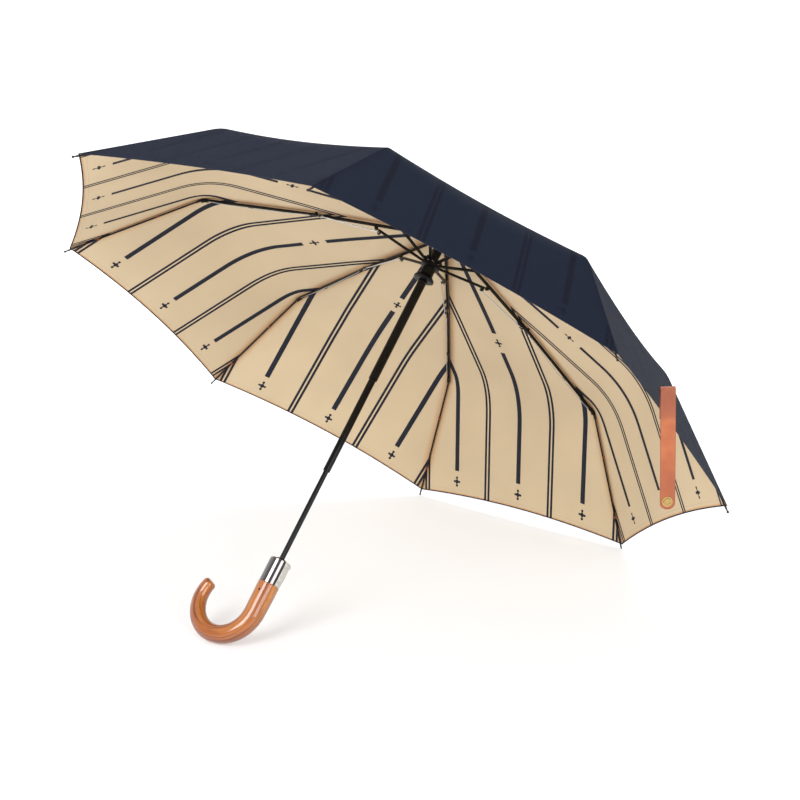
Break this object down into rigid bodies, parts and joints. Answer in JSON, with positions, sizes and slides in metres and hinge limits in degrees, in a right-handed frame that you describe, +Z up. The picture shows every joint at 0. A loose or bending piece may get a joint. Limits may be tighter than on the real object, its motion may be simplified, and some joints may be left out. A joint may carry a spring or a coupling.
{
  "type": "folding umbrella",
  "caption": "Compact folding umbrella, open: octagonal lined canopy on jointed ribs, telescoping black shaft, polished collar with push button and curved wooden crook handle.",
  "frame": {"origin": "on the shaft axis at the top face of the wooden handle, where the collar begins", "axes": "+Z up the shaft to the crown, +X towards the hook of the crook handle, +Y across"},
  "size_m": [0.9402, 0.9402, 0.6531],
  "materials": {
    "canopy_cloth": "navy outside and tan lining with dark stripes",
    "rib_black": "satin black",
    "shaft_black": "gloss black",
    "wood": "varnished, streaked grain",
    "dark_pin": "dark",
    "polished_collar": "polished dark nickel",
    "grey_plastic": "matte light grey",
    "black_plastic": "satin",
    "bright_steel": "bright",
    "strap_leather": "smooth tan leather",
    "brass": "satin"
  },
  "bodies": {
    "grip": {"handle": "wood", "handle_pin": "dark_pin", "collar": "polished_collar", "collar_cap": "black_plastic", "button_frame": "grey_plastic", "button_spring": "bright_steel", "lower_tube": "shaft_black"},
    "button": {"release_button": "grey_plastic"},
    "middle": {"middle_tube": "shaft_black"},
    "head": {"upper_tube": "shaft_black", "crown": "black_plastic", "crown_wire": "bright_steel", "canopy_washer": "canopy_cloth", "tip_cap": "black_plastic", "canopy": "canopy_cloth"},
    "runner": {"runner": "black_plastic", "runner_wire": "bright_steel"},
    "strap": {"strap": "strap_leather", "strap_snap": "brass"},
    "top_rib_1": {"top_rib_1": "rib_black"},
    "strut_1": {"strut_1": "rib_black"},
    "link_rod_1": {"link_rod_1": "bright_steel"},
    "middle_rib_1": {"middle_rib_1": "rib_black"},
    "outer_rib_1": {"outer_rib_1": "rib_black"},
    "top_rib_2": {"top_rib_2": "rib_black"},
    "strut_2": {"strut_2": "rib_black"},
    "link_rod_2": {"link_rod_2": "bright_steel"},
    "middle_rib_2": {"middle_rib_2": "rib_black"},
    "outer_rib_2": {"outer_rib_2": "rib_black"},
    "top_rib_3": {"top_rib_3": "rib_black"},
    "strut_3": {"strut_3": "rib_black"},
    "link_rod_3": {"link_rod_3": "bright_steel"},
    "middle_rib_3": {"middle_rib_3": "rib_black"},
    "outer_rib_3": {"outer_rib_3": "rib_black"},
    "top_rib_4": {"top_rib_4": "rib_black"},
    "strut_4": {"strut_4": "rib_black"},
    "link_rod_4": {"link_rod_4": "bright_steel"},
    "middle_rib_4": {"middle_rib_4": "rib_black"},
    "outer_rib_4": {"outer_rib_4": "rib_black"},
    "top_rib_5": {"top_rib_5": "rib_black"},
    "strut_5": {"strut_5": "rib_black"},
    "link_rod_5": {"link_rod_5": "bright_steel"},
    "middle_rib_5": {"middle_rib_5": "rib_black"},
    "outer_rib_5": {"outer_rib_5": "rib_black"},
    "top_rib_6": {"top_rib_6": "rib_black"},
    "strut_6": {"strut_6": "rib_black"},
    "link_rod_6": {"link_rod_6": "bright_steel"},
    "middle_rib_6": {"middle_rib_6": "rib_black"},
    "outer_rib_6": {"outer_rib_6": "rib_black"},
    "top_rib_7": {"top_rib_7": "rib_black"},
    "strut_7": {"strut_7": "rib_black"},
    "link_rod_7": {"link_rod_7": "bright_steel"},
    "middle_rib_7": {"middle_rib_7": "rib_black"},
    "outer_rib_7": {"outer_rib_7": "rib_black"},
    "top_rib_8": {"top_rib_8": "rib_black"},
    "strut_8": {"strut_8": "rib_black"},
    "link_rod_8": {"link_rod_8": "bright_steel"},
    "middle_rib_8": {"middle_rib_8": "rib_black"},
    "outer_rib_8": {"outer_rib_8": "rib_black"}
  },
  "joints": [
    {"name": "press_button", "type": "slide", "parent": "grip", "child": "button", "axis": [1, 0, 0], "range_m": [0, 0.0015], "stiffness_N_per_m": 2500, "springref_m": -0.001, "deforming": ["button_spring"]},
    {"name": "push_middle_tube", "type": "slide", "parent": "grip", "child": "middle", "axis": [0, 0, -1], "range_m": [0, 0.12]},
    {"name": "push_upper_tube", "type": "slide", "parent": "middle", "child": "head", "axis": [0, 0, -1], "range_m": [0, 0.128]},
    {"name": "fold", "type": "hinge", "parent": "head", "child": "top_rib_1", "pos_m": [0.01052, 0.00322, 0.53], "axis": [-0.2924, 0.9563, 0], "range_deg": [0, 75], "deforming": ["canopy"]},
    {"name": "strut_hinge_1", "type": "hinge", "parent": "top_rib_1", "child": "strut_1", "pos_m": [0.09037, 0.02763, 0.50879], "axis": [-0.2924, 0.9563, 0], "range_deg": [-152, 0]},
    {"name": "link_hinge_1", "type": "hinge", "parent": "strut_1", "child": "link_rod_1", "pos_m": [0.08407, 0.0257, 0.50342], "axis": [-0.2924, 0.9563, 0], "range_deg": [0, 153.2]},
    {"name": "elbow_hinge_1", "type": "hinge", "parent": "top_rib_1", "child": "middle_rib_1", "pos_m": [0.17437, 0.05331, 0.49877], "axis": [-0.2924, 0.9563, 0], "range_deg": [-182, 0]},
    {"name": "knee_hinge_1", "type": "hinge", "parent": "middle_rib_1", "child": "outer_rib_1", "pos_m": [0.32855, 0.10045, 0.45746], "axis": [-0.2924, 0.9563, 0], "range_deg": [0, 149]},
    {"name": "crown_hinge_2", "type": "hinge", "parent": "head", "child": "top_rib_2", "pos_m": [0.00516, 0.00971, 0.53], "axis": [-0.8829, 0.4695, 0], "range_deg": [0, 76]},
    {"name": "strut_hinge_2", "type": "hinge", "parent": "top_rib_2", "child": "strut_2", "pos_m": [0.04436, 0.08343, 0.50879], "axis": [-0.8829, 0.4695, 0], "range_deg": [-152, 0]},
    {"name": "link_hinge_2", "type": "hinge", "parent": "strut_2", "child": "link_rod_2", "pos_m": [0.04127, 0.07762, 0.50342], "axis": [-0.8829, 0.4695, 0], "range_deg": [0, 153.2]},
    {"name": "elbow_hinge_2", "type": "hinge", "parent": "top_rib_2", "child": "middle_rib_2", "pos_m": [0.0856, 0.161, 0.49877], "axis": [-0.8829, 0.4695, 0], "range_deg": [-182, 0]},
    {"name": "knee_hinge_2", "type": "hinge", "parent": "middle_rib_2", "child": "outer_rib_2", "pos_m": [0.16129, 0.30335, 0.45746], "axis": [-0.8829, 0.4695, 0], "range_deg": [0, 149]},
    {"name": "crown_hinge_3", "type": "hinge", "parent": "head", "child": "top_rib_3", "pos_m": [-0.00322, 0.01052, 0.53], "axis": [-0.9563, -0.2924, 0], "range_deg": [0, 76]},
    {"name": "strut_hinge_3", "type": "hinge", "parent": "top_rib_3", "child": "strut_3", "pos_m": [-0.02763, 0.09037, 0.50879], "axis": [-0.9563, -0.2924, 0], "range_deg": [-152, 0]},
    {"name": "link_hinge_3", "type": "hinge", "parent": "strut_3", "child": "link_rod_3", "pos_m": [-0.0257, 0.08407, 0.50342], "axis": [-0.9563, -0.2924, 0], "range_deg": [0, 153.2]},
    {"name": "elbow_hinge_3", "type": "hinge", "parent": "top_rib_3", "child": "middle_rib_3", "pos_m": [-0.05331, 0.17437, 0.49877], "axis": [-0.9563, -0.2924, 0], "range_deg": [-182, 0]},
    {"name": "knee_hinge_3", "type": "hinge", "parent": "middle_rib_3", "child": "outer_rib_3", "pos_m": [-0.10045, 0.32855, 0.45746], "axis": [-0.9563, -0.2924, 0], "range_deg": [0, 149]},
    {"name": "crown_hinge_4", "type": "hinge", "parent": "head", "child": "top_rib_4", "pos_m": [-0.00971, 0.00516, 0.53], "axis": [-0.4695, -0.8829, 0], "range_deg": [0, 76]},
    {"name": "strut_hinge_4", "type": "hinge", "parent": "top_rib_4", "child": "strut_4", "pos_m": [-0.08343, 0.04436, 0.50879], "axis": [-0.4695, -0.8829, 0], "range_deg": [-152, 0]},
    {"name": "link_hinge_4", "type": "hinge", "parent": "strut_4", "child": "link_rod_4", "pos_m": [-0.07762, 0.04127, 0.50342], "axis": [-0.4695, -0.8829, 0], "range_deg": [0, 153.2]},
    {"name": "elbow_hinge_4", "type": "hinge", "parent": "top_rib_4", "child": "middle_rib_4", "pos_m": [-0.161, 0.0856, 0.49877], "axis": [-0.4695, -0.8829, 0], "range_deg": [-182, 0]},
    {"name": "knee_hinge_4", "type": "hinge", "parent": "middle_rib_4", "child": "outer_rib_4", "pos_m": [-0.30335, 0.16129, 0.45746], "axis": [-0.4695, -0.8829, 0], "range_deg": [0, 149]},
    {"name": "crown_hinge_5", "type": "hinge", "parent": "head", "child": "top_rib_5", "pos_m": [-0.01052, -0.00322, 0.53], "axis": [0.2924, -0.9563, 0], "range_deg": [0, 76]},
    {"name": "strut_hinge_5", "type": "hinge", "parent": "top_rib_5", "child": "strut_5", "pos_m": [-0.09037, -0.02763, 0.50879], "axis": [0.2924, -0.9563, 0], "range_deg": [-152, 0]},
    {"name": "link_hinge_5", "type": "hinge", "parent": "strut_5", "child": "link_rod_5", "pos_m": [-0.08407, -0.0257, 0.50342], "axis": [0.2924, -0.9563, 0], "range_deg": [0, 153.2]},
    {"name": "elbow_hinge_5", "type": "hinge", "parent": "top_rib_5", "child": "middle_rib_5", "pos_m": [-0.17437, -0.05331, 0.49877], "axis": [0.2924, -0.9563, 0], "range_deg": [-182, 0]},
    {"name": "knee_hinge_5", "type": "hinge", "parent": "middle_rib_5", "child": "outer_rib_5", "pos_m": [-0.32855, -0.10045, 0.45746], "axis": [0.2924, -0.9563, 0], "range_deg": [0, 149]},
    {"name": "crown_hinge_6", "type": "hinge", "parent": "head", "child": "top_rib_6", "pos_m": [-0.00516, -0.00971, 0.53], "axis": [0.8829, -0.4695, 0], "range_deg": [0, 76]},
    {"name": "strut_hinge_6", "type": "hinge", "parent": "top_rib_6", "child": "strut_6", "pos_m": [-0.04436, -0.08343, 0.50879], "axis": [0.8829, -0.4695, 0], "range_deg": [-152, 0]},
    {"name": "link_hinge_6", "type": "hinge", "parent": "strut_6", "child": "link_rod_6", "pos_m": [-0.04127, -0.07762, 0.50342], "axis": [0.8829, -0.4695, 0], "range_deg": [0, 153.2]},
    {"name": "elbow_hinge_6", "type": "hinge", "parent": "top_rib_6", "child": "middle_rib_6", "pos_m": [-0.0856, -0.161, 0.49877], "axis": [0.8829, -0.4695, 0], "range_deg": [-182, 0]},
    {"name": "knee_hinge_6", "type": "hinge", "parent": "middle_rib_6", "child": "outer_rib_6", "pos_m": [-0.16129, -0.30335, 0.45746], "axis": [0.8829, -0.4695, 0], "range_deg": [0, 149]},
    {"name": "crown_hinge_7", "type": "hinge", "parent": "head", "child": "top_rib_7", "pos_m": [0.00322, -0.01052, 0.53], "axis": [0.9563, 0.2924, 0], "range_deg": [0, 76]},
    {"name": "strut_hinge_7", "type": "hinge", "parent": "top_rib_7", "child": "strut_7", "pos_m": [0.02763, -0.09037, 0.50879], "axis": [0.9563, 0.2924, 0], "range_deg": [-152, 0]},
    {"name": "link_hinge_7", "type": "hinge", "parent": "strut_7", "child": "link_rod_7", "pos_m": [0.0257, -0.08407, 0.50342], "axis": [0.9563, 0.2924, 0], "range_deg": [0, 153.2]},
    {"name": "elbow_hinge_7", "type": "hinge", "parent": "top_rib_7", "child": "middle_rib_7", "pos_m": [0.05331, -0.17437, 0.49877], "axis": [0.9563, 0.2924, 0], "range_deg": [-182, 0]},
    {"name": "knee_hinge_7", "type": "hinge", "parent": "middle_rib_7", "child": "outer_rib_7", "pos_m": [0.10045, -0.32855, 0.45746], "axis": [0.9563, 0.2924, 0], "range_deg": [0, 149]},
    {"name": "crown_hinge_8", "type": "hinge", "parent": "head", "child": "top_rib_8", "pos_m": [0.00971, -0.00516, 0.53], "axis": [0.4695, 0.8829, 0], "range_deg": [0, 76]},
    {"name": "strut_hinge_8", "type": "hinge", "parent": "top_rib_8", "child": "strut_8", "pos_m": [0.08343, -0.04436, 0.50879], "axis": [0.4695, 0.8829, 0], "range_deg": [-152, 0]},
    {"name": "link_hinge_8", "type": "hinge", "parent": "strut_8", "child": "link_rod_8", "pos_m": [0.07762, -0.04127, 0.50342], "axis": [0.4695, 0.8829, 0], "range_deg": [0, 153.2]},
    {"name": "elbow_hinge_8", "type": "hinge", "parent": "top_rib_8", "child": "middle_rib_8", "pos_m": [0.161, -0.0856, 0.49877], "axis": [0.4695, 0.8829, 0], "range_deg": [-182, 0]},
    {"name": "knee_hinge_8", "type": "hinge", "parent": "middle_rib_8", "child": "outer_rib_8", "pos_m": [0.30335, -0.16129, 0.45746], "axis": [0.4695, 0.8829, 0], "range_deg": [0, 149]},
    {"name": "runner_hinge", "type": "hinge", "parent": "strut_1", "child": "runner", "pos_m": [0.01052, 0.00322, 0.48759], "axis": [-0.2924, 0.9563, 0], "range_deg": [0, 76]},
    {"name": "strap_gather", "type": "slide", "parent": "head", "child": "strap", "axis": [0.9578, -0.2874, 0], "range_m": [0, 0.382]}
  ],
  "couplings": [
    {"joint": "strut_hinge_1", "follows": "fold", "ratio": -2},
    {"joint": "link_hinge_1", "follows": "fold", "ratio": 2.016},
    {"joint": "elbow_hinge_1", "follows": "fold", "ratio": -2.4},
    {"joint": "knee_hinge_1", "follows": "fold", "ratio": 1.96},
    {"joint": "crown_hinge_2", "follows": "fold", "ratio": 1},
    {"joint": "strut_hinge_2", "follows": "fold", "ratio": -2},
    {"joint": "link_hinge_2", "follows": "fold", "ratio": 2.016},
    {"joint": "elbow_hinge_2", "follows": "fold", "ratio": -2.4},
    {"joint": "knee_hinge_2", "follows": "fold", "ratio": 1.96},
    {"joint": "crown_hinge_3", "follows": "fold", "ratio": 1},
    {"joint": "strut_hinge_3", "follows": "fold", "ratio": -2},
    {"joint": "link_hinge_3", "follows": "fold", "ratio": 2.016},
    {"joint": "elbow_hinge_3", "follows": "fold", "ratio": -2.4},
    {"joint": "knee_hinge_3", "follows": "fold", "ratio": 1.96},
    {"joint": "crown_hinge_4", "follows": "fold", "ratio": 1},
    {"joint": "strut_hinge_4", "follows": "fold", "ratio": -2},
    {"joint": "link_hinge_4", "follows": "fold", "ratio": 2.016},
    {"joint": "elbow_hinge_4", "follows": "fold", "ratio": -2.4},
    {"joint": "knee_hinge_4", "follows": "fold", "ratio": 1.96},
    {"joint": "crown_hinge_5", "follows": "fold", "ratio": 1},
    {"joint": "strut_hinge_5", "follows": "fold", "ratio": -2},
    {"joint": "link_hinge_5", "follows": "fold", "ratio": 2.016},
    {"joint": "elbow_hinge_5", "follows": "fold", "ratio": -2.4},
    {"joint": "knee_hinge_5", "follows": "fold", "ratio": 1.96},
    {"joint": "crown_hinge_6", "follows": "fold", "ratio": 1},
    {"joint": "strut_hinge_6", "follows": "fold", "ratio": -2},
    {"joint": "link_hinge_6", "follows": "fold", "ratio": 2.016},
    {"joint": "elbow_hinge_6", "follows": "fold", "ratio": -2.4},
    {"joint": "knee_hinge_6", "follows": "fold", "ratio": 1.96},
    {"joint": "crown_hinge_7", "follows": "fold", "ratio": 1},
    {"joint": "strut_hinge_7", "follows": "fold", "ratio": -2},
    {"joint": "link_hinge_7", "follows": "fold", "ratio": 2.016},
    {"joint": "elbow_hinge_7", "follows": "fold", "ratio": -2.4},
    {"joint": "knee_hinge_7", "follows": "fold", "ratio": 1.96},
    {"joint": "crown_hinge_8", "follows": "fold", "ratio": 1},
    {"joint": "strut_hinge_8", "follows": "fold", "ratio": -2},
    {"joint": "link_hinge_8", "follows": "fold", "ratio": 2.016},
    {"joint": "elbow_hinge_8", "follows": "fold", "ratio": -2.4},
    {"joint": "knee_hinge_8", "follows": "fold", "ratio": 1.96},
    {"joint": "runner_hinge", "follows": "fold", "ratio": 1},
    {"joint": "strap_gather", "follows": "fold", "m_per_rad": 0.2903}
  ]
}
